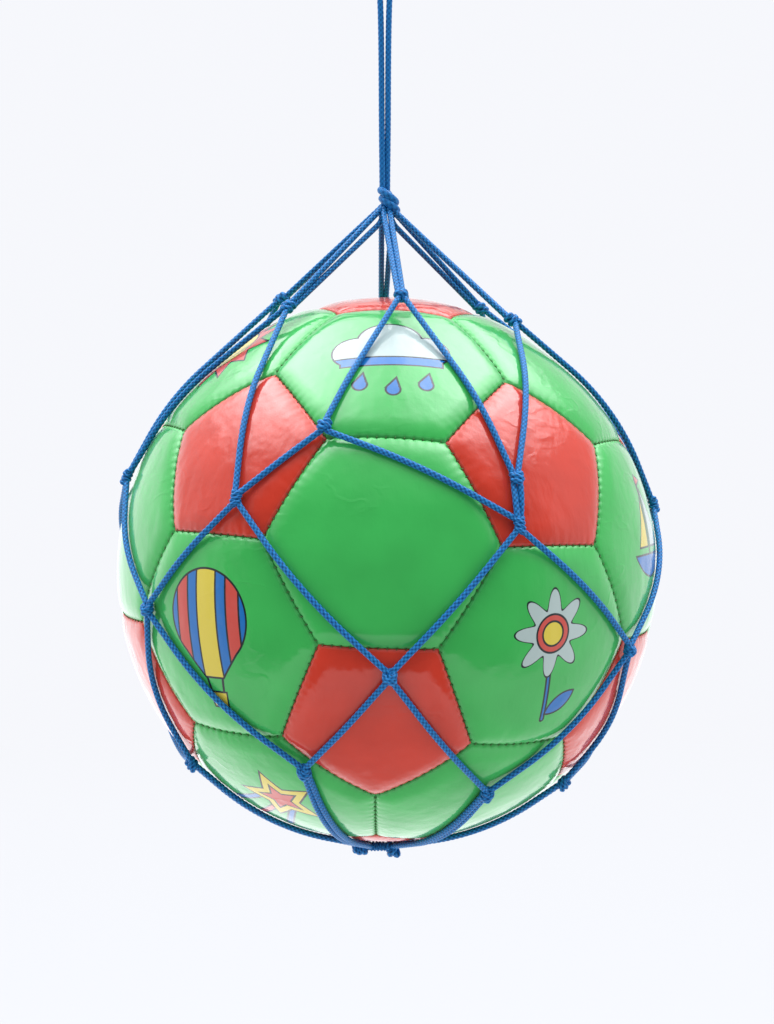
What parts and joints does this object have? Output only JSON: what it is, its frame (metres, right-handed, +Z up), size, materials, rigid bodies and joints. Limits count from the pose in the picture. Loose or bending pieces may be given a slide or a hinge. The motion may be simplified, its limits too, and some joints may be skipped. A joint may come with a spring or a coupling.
{
  "type": "mini soccer ball",
  "caption": "Small stitched ball of glossy green and red panels over a bladder with a needle valve, held in a knotted cord net and hung by a doubled cord loop.",
  "frame": {"origin": "where a peg bears inside the top of the hanging loop's eye", "axes": "+Z up along the hanging cord, +X to the right and -Y to the front as pictured"},
  "size_m": [0.1529, 0.1537, 0.2595],
  "materials": {
    "panel_green": "glossy stitched PVC sheet",
    "panel_red": "glossy stitched PVC sheet",
    "bladder_rubber": "matte",
    "net_cord": "braided cord"
  },
  "bodies": {
    "hanger": {"hanging_eye": "net_cord"},
    "hanging_cord": {"hanging_strand_left": "net_cord", "hanging_strand_right": "net_cord"},
    "net": {"top_knot": "net_cord", "net_cord_1": "net_cord", "net_cord_2": "net_cord", "net_cord_3": "net_cord", "net_cord_4": "net_cord", "net_cord_5": "net_cord", "net_cord_6": "net_cord", "bottom_gather": "net_cord"},
    "ball": {"pentagon_top": "panel_red", "pentagon_bottom": "panel_red", "pentagon_upper_1": "panel_red", "pentagon_upper_2": "panel_red", "pentagon_upper_3": "panel_red", "pentagon_upper_4": "panel_red", "pentagon_upper_5": "panel_red", "pentagon_lower_1": "panel_red", "pentagon_lower_2": "panel_red", "pentagon_lower_3": "panel_red", "pentagon_lower_4": "panel_red", "pentagon_lower_5": "panel_red", "hexagon_top_1": "panel_green", "hexagon_top_2": "panel_green", "hexagon_top_3": "panel_green", "hexagon_top_4": "panel_green", "hexagon_top_5": "panel_green", "hexagon_upper_1": "panel_green", "hexagon_upper_2": "panel_green", "hexagon_upper_3": "panel_green", "hexagon_upper_4": "panel_green", "hexagon_upper_5": "panel_green", "hexagon_lower_1": "panel_green", "hexagon_lower_2": "panel_green", "hexagon_lower_3": "panel_green", "hexagon_lower_4": "panel_green", "hexagon_lower_5": "panel_green", "hexagon_bottom_1": "panel_green", "hexagon_bottom_2": "panel_green", "hexagon_bottom_3": "panel_green", "hexagon_bottom_4": "panel_green", "hexagon_bottom_5": "panel_green", "bladder": "bladder_rubber", "valve": "bladder_rubber"}
  },
  "joints": [
    {"name": "swing", "type": "hinge", "parent": "hanger", "child": "hanging_cord", "pos_m": [0, 0, -0.003], "axis": [1, 0, 0], "range_deg": [-30, 30]},
    {"name": "sway", "type": "hinge", "parent": "hanging_cord", "child": "net", "pos_m": [0, 0, -0.0753], "axis": [0, 1, 0], "range_deg": [-20, 20]},
    {"name": "ball_turn", "type": "hinge", "parent": "net", "child": "ball", "pos_m": [0, 0, -0.179], "axis": [0, 0, 1], "continuous": true}
  ]
}
